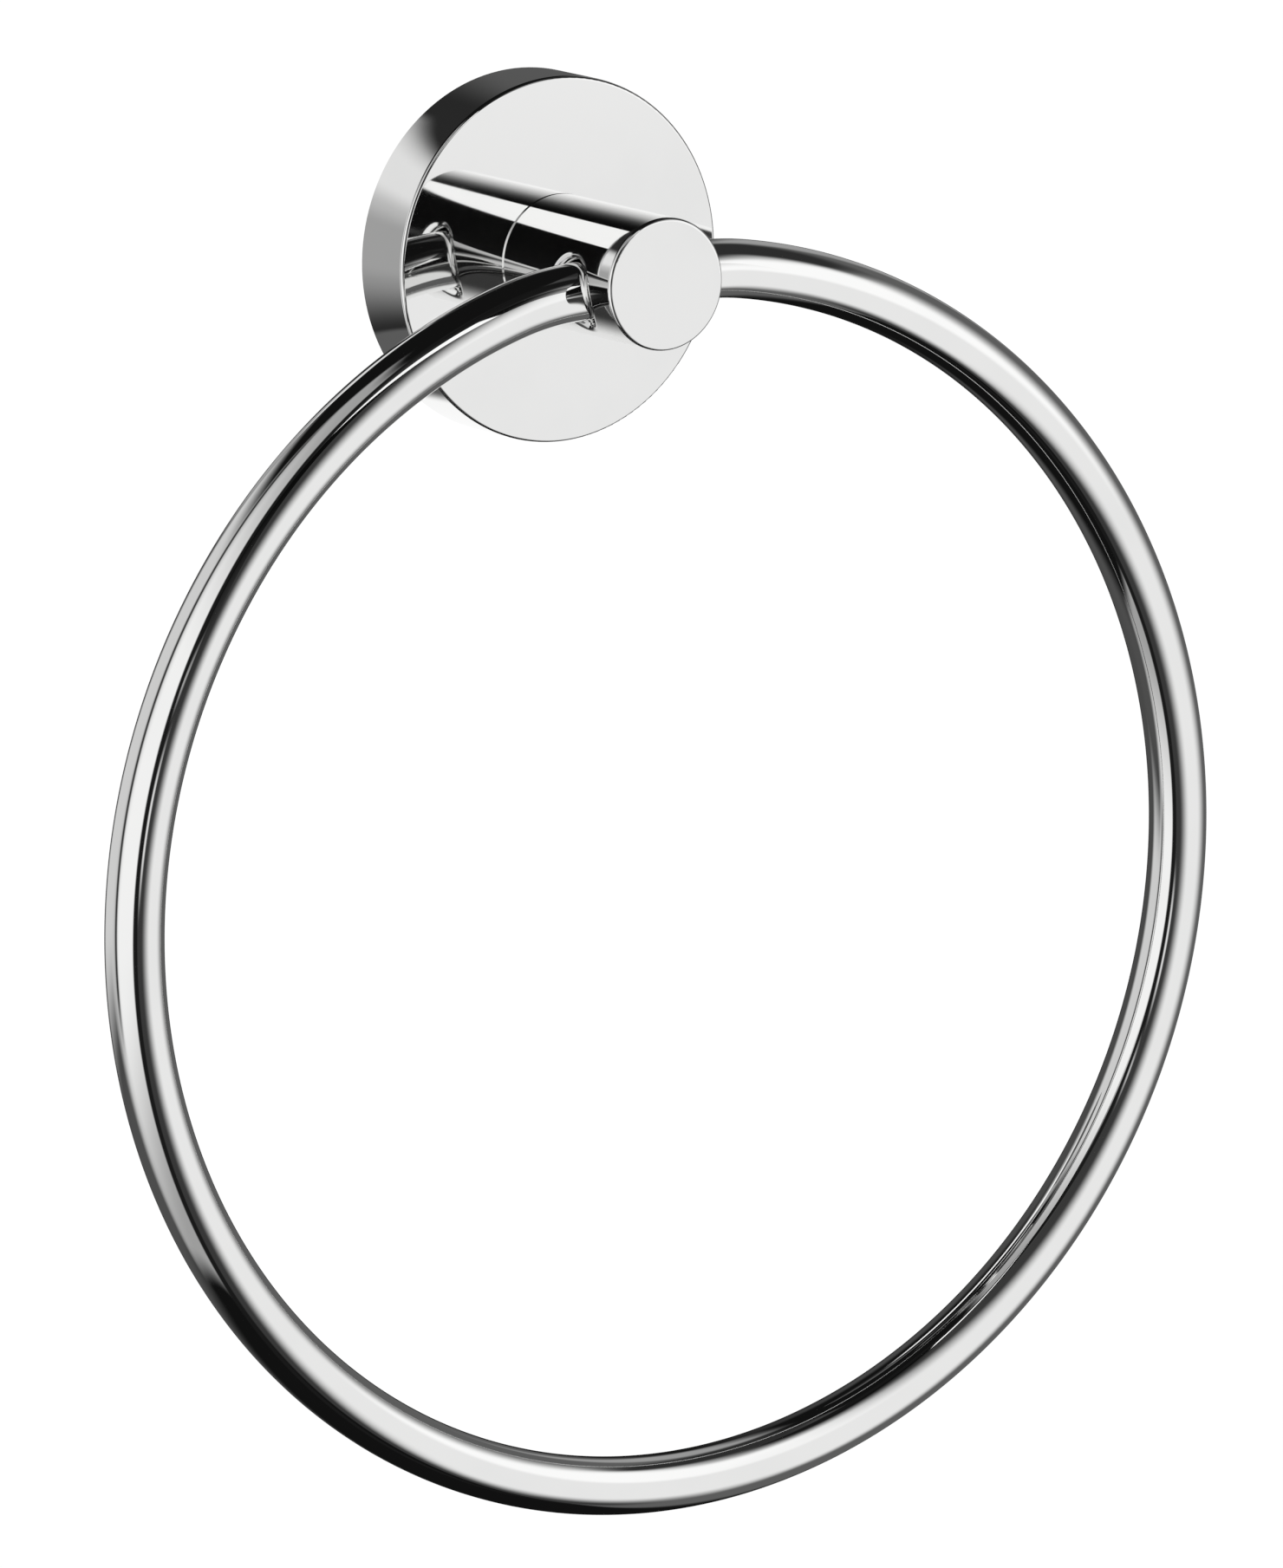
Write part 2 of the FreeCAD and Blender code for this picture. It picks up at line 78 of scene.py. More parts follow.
class Socket:
    """One value of a material's node sheet, which takes part in Python arithmetic."""

    def __init__(
        self, sheet: "NodeSheet", output: bpy.types.NodeSocket | None
    ) -> None:
        """Wrap an output socket.

        Args:
            sheet: The node sheet that the output belongs to.
            output: The output socket, or None for a node that has none.
        """
        self.sheet = sheet
        self.output = output

    def _math(self, operation: str, first: Any, second: Any) -> "Socket":
        """Add a Math node for one operation.

        Args:
            operation: The Math node's operation.
            first: Its first number or socket.
            second: Its second number or socket.

        Returns:
            The node's result.
        """
        return self.sheet.node(
            "ShaderNodeMath", {"operation": operation}, {0: first, 1: second}
        )

    def __add__(self, other: Any) -> "Socket":
        """This value plus another."""
        return self._math("ADD", self, other)

    __radd__ = __add__

    def __sub__(self, other: Any) -> "Socket":
        """This value less another."""
        return self._math("SUBTRACT", self, other)

    def __rsub__(self, other: Any) -> "Socket":
        """Another value less this one."""
        return self._math("SUBTRACT", other, self)

    def __mul__(self, other: Any) -> "Socket":
        """This value times another."""
        return self._math("MULTIPLY", self, other)

    __rmul__ = __mul__

    def __pow__(self, other: Any) -> "Socket":
        """This value to a power."""
        return self._math("POWER", self, other)

    def __rpow__(self, other: Any) -> "Socket":
        """Another value to the power of this one."""
        return self._math("POWER", other, self)

    def __abs__(self) -> "Socket":
        """This value without its sign."""
        return self._math("ABSOLUTE", self, 0.0)

    def steps_up(self, low: float, high: float) -> "Socket":
        """Rise smoothly from 0 to 1.

        Args:
            low: The value up to which the result is 0.
            high: The value from which the result is 1.

        Returns:
            The smooth step.
        """
        return self.sheet.node(
            "ShaderNodeMapRange",
            {"interpolation_type": "SMOOTHSTEP"},
            {"Value": self, "From Min": low, "From Max": high},
        )

    def steps_down(self, low: float, high: float) -> "Socket":
        """Fall smoothly from 1 to 0.

        Args:
            low: The value up to which the result is 1.
            high: The value from which the result is 0.

        Returns:
            The smooth step.
        """
        return 1.0 - self.steps_up(low, high)

    def above(self, limit: float) -> "Socket":
        """How far this value is above a limit, or 0 below it."""
        return self._math("MAXIMUM", self - limit, 0.0)


class NodeSheet:
    """The nodes of one material or world, written as expressions."""

    def __init__(self, owner: bpy.types.Material | bpy.types.World) -> None:
        """Empty the owner's nodes.

        Args:
            owner: The material or world that the nodes belong to.
        """
        owner.use_nodes = True
        self.tree = owner.node_tree
        self.tree.nodes.clear()

    def node(
        self,
        kind: str,
        settings: Mapping[str, Any] | None = None,
        inputs: Mapping[int | str, Any] | None = None,
        result: int | str = 0,
    ) -> Socket:
        """Add a node.

        Args:
            kind: The node's type.
            settings: Its settings, which are set first.
            inputs: A number, colour or socket for each input, by name or place.
            result: The output that is wanted, by name or place.

        Returns:
            That output.
        """
        made = self.tree.nodes.new(kind)
        for name, setting in (settings or {}).items():
            setattr(made, name, setting)
        for name, content in (inputs or {}).items():
            if isinstance(content, Socket):
                self.tree.links.new(content.output, made.inputs[name])
            else:
                made.inputs[name].default_value = content
        return Socket(self, made.outputs[result] if made.outputs else None)

    def mix(self, share: Any, first: Any, second: Any) -> Socket:
        """Mix two colours.

        Args:
            share: How much of the second colour there is.
            first: A colour or socket.
            second: A colour or socket.

        Returns:
            The mixed colour.
        """
        return self.node(
            "ShaderNodeMix",
            {"data_type": "RGBA"},
            {0: share, 6: _with_alpha(first), 7: _with_alpha(second)},
            result=2,
        )

    def place(self) -> Socket:
        """The point of the surface in the object's own coordinates."""
        return self.node("ShaderNodeTexCoord", result="Object")

    def parts_of(self, vector: Socket) -> tuple[Socket, Socket, Socket]:
        """The x, y and z of a vector."""
        split = self.node("ShaderNodeSeparateXYZ", inputs={0: vector})
        outputs = split.output.node.outputs
        return tuple(Socket(self, output) for output in outputs)

    def unit(self, vector: Socket) -> Socket:
        """The vector of length 1 that points as this one does."""
        return self.node(
            "ShaderNodeVectorMath", {"operation": "NORMALIZE"}, {0: vector}
        )

    def direction(self, x: Socket, y: Socket, z: Socket) -> Socket:
        """The vector of length 1 whose parts are in this proportion."""
        return self.unit(self.node("ShaderNodeCombineXYZ", inputs={0: x, 1: y, 2: z}))

    def blend(self, share: Socket, first: Socket, second: Socket) -> Socket:
        """Mix two vectors.

        Args:
            share: How much of the second vector there is.
            first: A vector.
            second: A vector.

        Returns:
            The mixed vector.
        """
        inputs = {0: share, 4: first, 5: second}
        return self.node("ShaderNodeMix", {"data_type": "VECTOR"}, inputs, result=1)

    def angle(self, across: Socket, ahead: Socket) -> Socket:
        """How far a direction is turned to the right of straight ahead.

        Args:
            across: How far it goes to the right.
            ahead: How far it goes straight ahead.

        Returns:
            The angle in degrees, -180 to 180.
        """
        turn = self.node(
            "ShaderNodeMath", {"operation": "ARCTAN2"}, {0: across, 1: ahead}
        )
        return turn * math.degrees(1.0)

    def wrap(self, angle: Socket, half_turn: float) -> Socket:
        """An angle brought back to between less and plus half a turn."""
        limits = {0: angle, 1: half_turn, 2: -half_turn}
        return self.node("ShaderNodeMath", {"operation": "WRAP"}, limits)

    def noise(self, place: Socket, scale: float, detail: float) -> Socket:
        """Cloudy noise.

        Args:
            place: The point that it is read at.
            scale: Its cells in each metre.
            detail: How many finer layers it has.

        Returns:
            The noise, about 0 to 1.
        """
        return self.node(
            "ShaderNodeTexNoise",
            {"noise_dimensions": "3D"},
            {"Vector": place, "Scale": scale, "Detail": detail},
        )

    def marks(self, line: Socket, scale: float, detail: float) -> Socket:
        """Noise along one line, such as the marks that turning leaves.

        Args:
            line: The place on the line.
            scale: Its cells in each metre.
            detail: How many finer layers it has.

        Returns:
            The noise, about 0 to 1.
        """
        return self.node(
            "ShaderNodeTexNoise",
            {"noise_dimensions": "1D"},
            {"W": line, "Scale": scale, "Detail": detail},
        )

    def bump(
        self, height: Socket, distance: float, normal: Socket | None = None
    ) -> Socket:
        """A normal from a height.

        Args:
            height: The height, 0 to 1.
            distance: How high 1 is, in metres.
            normal: The normal that this one is laid over, or None for the mesh's.

        Returns:
            The normal.
        """
        inputs = {"Height": height, "Distance": distance, "Strength": 1.0}
        if normal is not None:
            inputs["Normal"] = normal
        return self.node("ShaderNodeBump", inputs=inputs)

    def metal(self, tint: Socket, roughness: Socket, normal: Socket) -> None:
        """Show a metal.

        Args:
            tint: Its colour.
            roughness: Its roughness.
            normal: Its normal.
        """
        inputs = {"Base Color": tint, "Roughness": roughness, "Normal": normal}
        inputs["Metallic"] = 1.0
        self.show(self.node("ShaderNodeBsdfPrincipled", inputs=inputs))

    def show(self, shader: Socket, output: str = "ShaderNodeOutputMaterial") -> None:
        """Join a shader to the output node."""
        self.node(output, inputs={"Surface": shader})


def _with_alpha(colour: Any) -> Any:
    """A colour with its alpha, or the socket as it is."""
    return colour if isinstance(colour, Socket) else (*colour, 1.0)


def off_axis(across: Socket, up: Socket) -> Socket:
    """How far a point is from an axis, by its two places square to it."""
    return (across * across + up * up) ** 0.5


@dataclass(frozen=True)
class CastHollow:
    """A hollow behind a front wall, which is plated but not polished.

    Args:
        radius: Its radius.
        depth: How far out from the wall it goes.
        edge: How far beyond its own walls the polish starts and is full.
    """

    radius: float
    depth: float
    edge: Limits = (0.1 * MILLIMETRE, 0.3 * MILLIMETRE)

    def mask(self, sheet: NodeSheet, place: Socket) -> Socket:
        """1 in the hollow, and 0 outside it.

        Args:
            sheet: The material's nodes.
            place: The point of the surface.

        Returns:
            The mask.
        """
        start, full = self.edge
        across, along, up = sheet.parts_of(place)
        from_axis = off_axis(across, up)
        within = from_axis.steps_down(self.radius + start, self.radius + full)
        behind = along.steps_up(-self.depth - full, -self.depth - start)
        return within * behind


@dataclass(frozen=True)
class TurnedRim:
    """A turned front, flat up to the round at its rim.

    Args:
        radius: Its radius.
        depth: How far it stands out from the wall.
        round_radius: The radius of the round.
    """

    radius: float
    depth: float
    round_radius: float

    def normal(self, sheet: NodeSheet, place: Socket) -> Socket:
        """The true normal of the front and of its round, and elsewhere the mesh's.

        Args:
            sheet: The material's nodes.
            place: The point of the surface.

        Returns:
            The normal.
        """
        across, along, up = sheet.parts_of(place)
        from_axis = off_axis(across, up)
        outward = from_axis.above(self.radius - self.round_radius)
        forward = (-1.0 * along).above(self.depth - self.round_radius)
        share = outward * from_axis**-1.0
        true = sheet.direction(across * share, -1.0 * forward, up * share)
        plain = sheet.node("ShaderNodeNewGeometry", result="Normal")
        on_front = forward.steps_up(0.0, MICROMETRE)
        return sheet.blend(on_front, plain, true)


@dataclass(frozen=True)
class PolishedChrome:
    """Bright chrome plate over polished brass.

    Args:
        tint: Its colour.
        hazy_tint: Its colour in a hazy patch.
        hazy_share: How much of that colour the haziest patch has.
        roughness: Its roughness where it is cleanest.
        haze: How much more a hazy patch has.
        haze_scale: The haze's cells in each metre.
        haze_limits: The noise from which a patch starts, and at which it is full.
        smear_scale: The cells in each metre of the fine smears in a patch.
        smear_limits: The noise from which a smear starts, and at which it is full.
        ripple: The height of the slight waves that polishing leaves.
        ripple_scale: Their cells in each metre.
        hollow: A cast hollow that is plated but not polished.
        rim: A turned front with its rim, which gets its true normal.
        raw_tint: The hollow's colour.
        raw_roughness: How much rougher the hollow is.
        grain: How much rougher still its grain is.
        grain_scale: The grain's cells in each metre.
        grain_height: The grain's height.
    """

    tint: Colour = (0.90, 0.90, 0.895)
    hazy_tint: Colour = (0.87, 0.872, 0.868)
    hazy_share: float = 0.6
    roughness: float = 0.03
    haze: float = 0.03
    haze_scale: float = 70.0
    haze_limits: Limits = (0.42, 0.72)
    smear_scale: float = 900.0
    smear_limits: Limits = (0.35, 0.75)
    ripple: float = 0.6 * MICROMETRE
    ripple_scale: float = 260.0
    hollow: CastHollow | None = None
    rim: TurnedRim | None = None
    raw_tint: Colour = (0.56, 0.565, 0.57)
    raw_roughness: float = 0.34
    grain: float = 0.18
    grain_scale: float = 1800.0
    grain_height: float = 18.0 * MICROMETRE

    def material(self, name: str) -> bpy.types.Material:
        """Make the material.

        Args:
            name: Its name.

        Returns:
            The material.
        """
        made = bpy.data.materials.new(name)
        sheet = NodeSheet(made)
        place = sheet.place()
        cloud = sheet.noise(place, self.haze_scale, detail=3.0)
        cloud = cloud.steps_up(*self.haze_limits)
        smears = sheet.noise(place, self.smear_scale, detail=2.0)
        smears = smears.steps_up(*self.smear_limits)
        tint = sheet.mix(cloud * self.hazy_share, self.tint, self.hazy_tint)
        roughness = self.roughness + self.haze * cloud * (0.5 + 0.5 * smears)
        turned = None if self.rim is None else self.rim.normal(sheet, place)
        waves = sheet.noise(place, self.ripple_scale, detail=1.0)
        normal = sheet.bump(waves, self.ripple, turned)
        if self.hollow is not None:
            inside = self.hollow.mask(sheet, place)
            grain = sheet.noise(place, self.grain_scale, detail=4.0)
            tint = sheet.mix(inside, tint, self.raw_tint)
            roughness = roughness + inside * (self.raw_roughness + self.grain * grain)
            normal = sheet.bump(grain * inside, self.grain_height, normal)
        sheet.metal(tint, roughness, normal)
        return made


@dataclass(frozen=True)
class ZincPlate:
    """Dull blue zinc on a stamped and turned steel plate.

    Args:
        tint: Its colour.
        warm_tint: Its colour in a warm cloud.
        warm_limits: The noise from which a cloud is warm, and at which it is full.
        cloud_scale: The clouds' cells in each metre.
        dark_tint: The colour of its dark spots.
        dark_share: How much of that colour the darkest spot has.
        spot_scale: The spots' cells in each metre.
        spot_limits: The noise from which a spot starts, and at which it is full.
        roughness: Its roughness where it is smoothest.
        cloud_roughness: How much more a cloud has.
        mark_roughness: How much more a turning mark has.
        mark_scale: The turning marks' cells in each metre.
        mark_height: Their height.
        grain_height: The height of clouds and spots.
    """

    tint: Colour = (0.60, 0.63, 0.67)
    warm_tint: Colour = (0.66, 0.65, 0.58)
    warm_limits: Limits = (0.4, 0.7)
    cloud_scale: float = 110.0
    dark_tint: Colour = (0.40, 0.42, 0.45)
    dark_share: float = 0.45
    spot_scale: float = 900.0
    spot_limits: Limits = (0.55, 0.75)
    roughness: float = 0.32
    cloud_roughness: float = 0.22
    mark_roughness: float = 0.1
    mark_scale: float = 6000.0
    mark_height: float = 9.0 * MICROMETRE
    grain_height: float = 5.0 * MICROMETRE

    def material(self, name: str) -> bpy.types.Material:
        """Make the material.

        Args:
            name: Its name.

        Returns:
            The material.
        """
        made = bpy.data.materials.new(name)
        sheet = NodeSheet(made)
        place = sheet.place()
        across, _, up = sheet.parts_of(place)
        cloud = sheet.noise(place, self.cloud_scale, detail=4.0)
        spots = sheet.noise(place, self.spot_scale, detail=3.0)
        spots = spots.steps_up(*self.spot_limits)
        marks = sheet.marks(off_axis(across, up), self.mark_scale, detail=3.0)
        warm = cloud.steps_up(*self.warm_limits)
        tint = sheet.mix(warm, self.tint, self.warm_tint)
        tint = sheet.mix(spots * self.dark_share, tint, self.dark_tint)
        roughness = self.roughness + self.cloud_roughness * cloud
        roughness = roughness + self.mark_roughness * marks
        normal = sheet.bump(marks, self.mark_height)
        normal = sheet.bump(spots + cloud, self.grain_height, normal)
        sheet.metal(tint, roughness, normal)
        return made


@dataclass(frozen=True)
class Thread:
    """A screw's thread, which its finish shows as relief, with shade painted into its
    grooves.

    Args:
        pitch: The distance from crest to crest.
        radius: Its outer radius.
        first: Where it starts along the screw's axis.
        last: Where it ends along that axis.
        skin: How far below the outer radius it starts to show, and shows fully.
        flank: The share of the way to the crest where a flank starts, and ends.
        height: The height of a crest over its groove, as a share of the pitch.
        shade: How dark the shade painted into a groove is, 0 to 1.
    """

    pitch: float
    radius: float
    first: float
    last: float
    skin: Limits = (0.15 * MILLIMETRE, 0.05 * MILLIMETRE)
    flank: Limits = (0.15, 0.85)
    height: float = 0.5
    shade: float = 0.8

    def crest(
        self, sheet: NodeSheet, across: Socket, along: Socket, up: Socket
    ) -> Socket:
        """1 on the thread's crest and 0 at the bottom of its groove.

        Args:
            sheet: The material's nodes.
            across: The place across the screw's axis.
            along: The place along it.
            up: The place square to both.

        Returns:
            The share of the way from groove to crest.
        """
        turns = sheet.angle(across, up) * (0.5 / HALF_TURN)
        climb = along * (1.0 / self.pitch) + turns
        half = sheet.node(
            "ShaderNodeMath", {"operation": "PINGPONG"}, {0: climb, 1: 0.5}
        )
        return half * 2.0

    def mask(self, from_axis: Socket, along: Socket) -> Socket:
        """1 on the outside of the threaded length, and 0 elsewhere.

        Args:
            from_axis: The distance from the screw's axis.
            along: The place along it.

        Returns:
            The mask.
        """
        start, full = self.skin
        return (
            from_axis.steps_up(self.radius - start, self.radius - full)
            * along.steps_up(self.first, self.first + self.pitch)
            * along.steps_down(self.last - self.pitch, self.last)
        )


@dataclass(frozen=True)
class ScrewSteel:
    """Plain stainless steel of a screw or washer, with its turning marks and shade
    painted into its thread's grooves.

    Args:
        point: A point that the screw's axis goes through.
        upright: Whether that axis is upright. Else it runs along Y.
        thread: Its thread, or None where there is none.
        tint: Its colour.
        dark_tint: Its colour in clouds, and the shade painted into the thread's
            grooves.
        dark_share: How much of that colour the darkest cloud has.
        cloud_scale: The clouds' cells in each metre.
        roughness: Its roughness where it is smoothest.
        cloud_roughness: How much more a cloud has.
        mark_roughness: How much more a turning mark has.
        mark_scale: The turning marks' cells in each metre.
        mark_height: Their height.
    """

    point: Point = (0.0, 0.0, 0.0)
    upright: bool = False
    thread: Thread | None = None
    tint: Colour = (0.58, 0.575, 0.56)
    dark_tint: Colour = (0.22, 0.215, 0.21)
    dark_share: float = 0.4
    cloud_scale: float = 400.0
    roughness: float = 0.26
    cloud_roughness: float = 0.16
    mark_roughness: float = 0.12
    mark_scale: float = 9000.0
    mark_height: float = 4.0 * MICROMETRE

    def material(self, name: str) -> bpy.types.Material:
        """Make the material.

        Args:
            name: Its name.

        Returns:
            The material.
        """
        made = bpy.data.materials.new(name)
        sheet = NodeSheet(made)
        place = sheet.place()
        parts = zip(sheet.parts_of(place), self.point)
        across, along, up = (part - middle for part, middle in parts)
        if self.upright:
            along, up = up, along
        from_axis = off_axis(across, up)
        marks = sheet.marks(from_axis + along, self.mark_scale, detail=2.0)
        cloud = sheet.noise(place, self.cloud_scale, detail=3.0)
        normal = sheet.bump(marks, self.mark_height)
        tint = sheet.mix(cloud * self.dark_share, self.tint, self.dark_tint)
        roughness = self.roughness + self.cloud_roughness * cloud
        roughness = roughness + self.mark_roughness * marks
        if self.thread is not None:
            crest = self.thread.crest(sheet, across, along, up)
            on_thread = self.thread.mask(from_axis, along)
            relief = crest.steps_up(*self.thread.flank) * on_thread
            height = self.thread.height * self.thread.pitch
            normal = sheet.bump(relief, height, normal)
            # Painted shade: the thread's grooves are darkened in the colour, as if
            # shaded.
            shade = on_thread * (1.0 - crest) * self.thread.shade
            tint = sheet.mix(shade, tint, self.dark_tint)
        sheet.metal(tint, roughness, normal)
        return made


class MeshWork:
    """A mesh in the making, which becomes one finished piece."""

    def __init__(self) -> None:
        """Start with an empty mesh."""
        self.mesh = bmesh.new()

    def finish(self, name: str, material: bpy.types.Material) -> bpy.types.Object:
        """Close the mesh and put it in the scene.

        Args:
            name: The piece's name.
            material: Its material.

        Returns:
            The piece, whose object sits at the origin.
        """
        bmesh.ops.remove_doubles(
            self.mesh, verts=self.mesh.verts, dist=MERGE_DISTANCE
        )
        bmesh.ops.recalc_face_normals(self.mesh, faces=self.mesh.faces)
        for face in self.mesh.faces:
            face.smooth = True
        for edge in self.mesh.edges:
            edge.smooth = edge.calc_face_angle(math.pi) < SHARP_ANGLE
        data = bpy.data.meshes.new(name)
        self.mesh.to_mesh(data)
        self.mesh.free()
        data.materials.append(material)
        piece = bpy.data.objects.new(name, data)
        bpy.context.scene.collection.objects.link(piece)
        return piece


@dataclass
class TowelRing:
    """The bent rod, whose straight chamfered ends meet inside the post's cross bore.

    Its radii and its place come from the boxes of two CAD nodes: the ring that it
    stands for, and the post that clamps it.

    Args:
        shoulder_radius: The radius of the tighter bend on each side of the post.
        end_gap: The gap between the two ends.
        end_chamfer: The chamfer round each end.
        rod_sides: How many sides the rod has round its section.
        bend_steps: How many steps the ring's bend has.
        shoulder_steps: How many steps each shoulder has.

    Attributes:
        rod_radius: The rod's radius.
        bend_radius: The radius of the ring's bend, at the middle of the rod.
        straight: How far the rod runs straight to each side of the post's axis.
        centre: The middle of the ring's bend.
    """

    shoulder_radius: float = 42.7 * MILLIMETRE
    end_gap: float = 1.0 * MILLIMETRE
    end_chamfer: float = 1.5 * MILLIMETRE
    rod_sides: int = 72
    bend_steps: int = 680
    shoulder_steps: int = 24
    rod_radius: float = field(init=False)
    bend_radius: float = field(init=False)
    straight: float = field(init=False)
    centre: Vector = field(init=False)

    def __post_init__(self) -> None:
        """Read the rod's radii and place from the frame."""
        low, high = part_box("ring")
        self.rod_radius = (high.y - low.y) / 2
        self.bend_radius = (high.x - low.x) / 2 - self.rod_radius
        middle = (low.y + high.y) / 2
        self.centre = Vector((0.0, middle, low.z + self.rod_radius + self.bend_radius))
        low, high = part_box("post")
        self.straight = (high.x - low.x) / 2

    def build(self) -> MeshWork:
        """Bend the rod: straight end, shoulder, ring, shoulder, straight end.

        Returns:
            The mesh.
        """
        work = MeshWork()
        mesh = work.mesh
        reach = self.bend_radius - self.shoulder_radius
        turn = math.asin(self.straight / reach)
        right = self.centre + Vector((self.straight, 0.0, reach * math.cos(turn)))
        left = right - Vector((2 * self.straight, 0.0, 0.0))
        start = self.end_gap / 2 + self.end_chamfer
        length = self.straight - start
        stand = Matrix.Translation((start, right.y, right.z + self.shoulder_radius))
        bmesh.ops.create_circle(
            mesh,
            segments=self.rod_sides,
            radius=self.rod_radius,
            matrix=stand @ Matrix.Rotation(math.pi / 2, 4, "Y"),
        )
        first = list(mesh.edges)
        rim = self._push(mesh, first, length)
        rim = self._bend(mesh, rim, right, turn, self.shoulder_steps)
        rim = self._bend(mesh, rim, self.centre, 2 * (math.pi - turn), self.bend_steps)
        rim = self._bend(mesh, rim, left, turn, self.shoulder_steps)
        last = self._push(mesh, rim, length)
        self._end(mesh, first, -self.end_chamfer)
        self._end(mesh, last, self.end_chamfer)
        return work

    @staticmethod
    def _push(mesh: bmesh.types.BMesh, rim: list, length: float) -> list:
        """Lengthen the rod straight to the right.

        Args:
            mesh: The mesh.
            rim: The edges that it grows from.
            length: How much longer it gets, or less than 0 to grow to the left.

        Returns:
            The new rim's edges.
        """
        made = bmesh.ops.extrude_edge_only(mesh, edges=rim)["geom"]
        verts = [v for v in made if isinstance(v, bmesh.types.BMVert)]
        bmesh.ops.translate(mesh, vec=(length, 0.0, 0.0), verts=verts)
        return [e for e in made if isinstance(e, bmesh.types.BMEdge)]

    @staticmethod
    def _bend(
        mesh: bmesh.types.BMesh, rim: list, centre: Vector, angle: float, steps: int
    ) -> list:
        """Carry the rod on round a bend, clockwise as seen from the room.

        Args:
            mesh: The mesh.
            rim: The edges that it grows from.
            centre: The middle of the bend.
            angle: How far it goes round, in radians.
            steps: In how many steps.

        Returns:
            The new rim's edges.
        """
        verts = list({vert for edge in rim for vert in edge.verts})
        spun = bmesh.ops.spin(
            mesh,
            geom=rim + verts,
            cent=centre,
            axis=(0.0, 1.0, 0.0),
            angle=angle,
            steps=steps,
            use_merge=False,
        )
        return [e for e in spun["geom_last"] if isinstance(e, bmesh.types.BMEdge)]

    def _end(self, mesh: bmesh.types.BMesh, rim: list, length: float) -> None:
        """Chamfer and close one end of the rod.

        Args:
            mesh: The mesh.
            rim: The end's edges.
            length: How far the end face lies to the right of the rim.
        """
        edges = self._push(mesh, rim, length)
        verts = list({vert for edge in edges for vert in edge.verts})
        middle = sum((v.co for v in verts), Vector()) / len(verts)
        shrink = (self.rod_radius - self.end_chamfer) / self.rod_radius
        bmesh.ops.scale(
            mesh,
            vec=(shrink, shrink, shrink),
            verts=verts,
            space=Matrix.Translation(-middle),
        )
        bmesh.ops.edgeloop_fill(mesh, edges=edges)

    def dress(self, work: MeshWork, chrome: PolishedChrome) -> bpy.types.Object:
        """Finish the piece and put it in place of its CAD node.

        Args:
            work: The bent rod.
            chrome: Its finish.

        Returns:
            The piece.
        """
        piece = work.finish("towel_ring_rod", chrome.material("ring_chrome"))
        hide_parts("ring")
        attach(piece, "root")
        return piece


@dataclass
class CadPiece:
    """A CAD node whose shape is right and which gets its finish here.

    Args:
        node: The node's name.
        slot: The material slot meant for it. Not used.
        finish: Its finish.
    """

    node: str
    slot: Slot
    finish: PolishedChrome | ZincPlate | ScrewSteel

    def dress(self) -> bpy.types.Object:
        """Put the finish on the node.

        Returns:
            The node's object.
        """
        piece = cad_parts[self.node]
        piece.data.materials.clear()
        piece.data.materials.append(self.finish.material(f"{self.node}_finish"))
        for polygon in piece.data.polygons:
            polygon.material_index = 0
        return piece


@dataclass
class WallFitting:
    """Rosette, post, wall plate and their screws, as the CAD model has them.

    Args:
        cup: The hollow of the rosette.
        rosette_rim: The rosette's front and its rim.
        locking_point: A point on the axis of the screw that locks the rosette.
        post_thread: The thread of the screw that holds the post.
        clamp_thread: The thread of the screw that clamps the ring.
        locking_thread: The thread of the screw that locks the rosette.
    """

    cup: CastHollow = CastHollow(radius=22.0 * MILLIMETRE, depth=8.0 * MILLIMETRE)
    rosette_rim: TurnedRim = TurnedRim(
        radius=25.0 * MILLIMETRE,
        depth=10.6 * MILLIMETRE,
        round_radius=0.5 * MILLIMETRE,
    )
    locking_point: Point = (0.0, -3.05 * MILLIMETRE, 0.0)
    post_thread: Thread = Thread(
        pitch=1.0 * MILLIMETRE,
        radius=3.0 * MILLIMETRE,
        first=-14.8 * MILLIMETRE,
        last=-6.8 * MILLIMETRE,
    )
    clamp_thread: Thread = Thread(
        pitch=1.0 * MILLIMETRE,
        radius=3.0 * MILLIMETRE,
        first=-22.4 * MILLIMETRE,
        last=-16.8 * MILLIMETRE,
    )
    locking_thread: Thread = Thread(
        pitch=0.7 * MILLIMETRE,
        radius=2.0 * MILLIMETRE,
        first=-24.8 * MILLIMETRE,
        last=-22.2 * MILLIMETRE,
    )

    def pieces(self) -> list[CadPiece]:
        """The CAD nodes with their finishes.

        Returns:
            The pieces, in the order in which they are mounted.
        """
        post_steel = ScrewSteel(thread=self.post_thread)
        clamp_steel = ScrewSteel(thread=self.clamp_thread)
        locking_steel = ScrewSteel(
            point=self.locking_point, upright=True, thread=self.locking_thread
        )
        rosette_chrome = PolishedChrome(hollow=self.cup, rim=self.rosette_rim)
        return [
            CadPiece("wall_plate", Slot.ZINC, ZincPlate()),
            CadPiece("post_washer", Slot.STEEL, ScrewSteel()),
            CadPiece("post_screw", Slot.STEEL, post_steel),
            CadPiece("ring_clamp_screw", Slot.STEEL, clamp_steel),
            CadPiece("rosette_locking_screw", Slot.STEEL, locking_steel),
            CadPiece("rosette", Slot.CHROME, rosette_chrome),
            CadPiece("post", Slot.CHROME, PolishedChrome()),
        ]


@dataclass(frozen=True)
class Panel:
    """One light or dark panel of a cloth, placed by two lengths or two angles.

    Args:
        name: What it is, which labels its node.
        across: The place of its middle across the cloth.
        up: The place of its middle up the cloth.
        half_width: Half its width.
        half_height: Half its height.
        grey: Its brightness as it shows in a picture, 1 for white.
        side_softness: How soft its two sides are.
        end_softness: How soft its top and bottom are.
        lean: How far its sides lean across for each step up.
        bow: How far they bend across for each step up squared.
        slope: How far its top and bottom rise for each step across.
    """

    name: str
    across: float
    up: float
    half_width: float
    half_height: float
    grey: float
    side_softness: float
    end_softness: float
    lean: float = 0.0
    bow: float = 0.0
    slope: float = 0.0


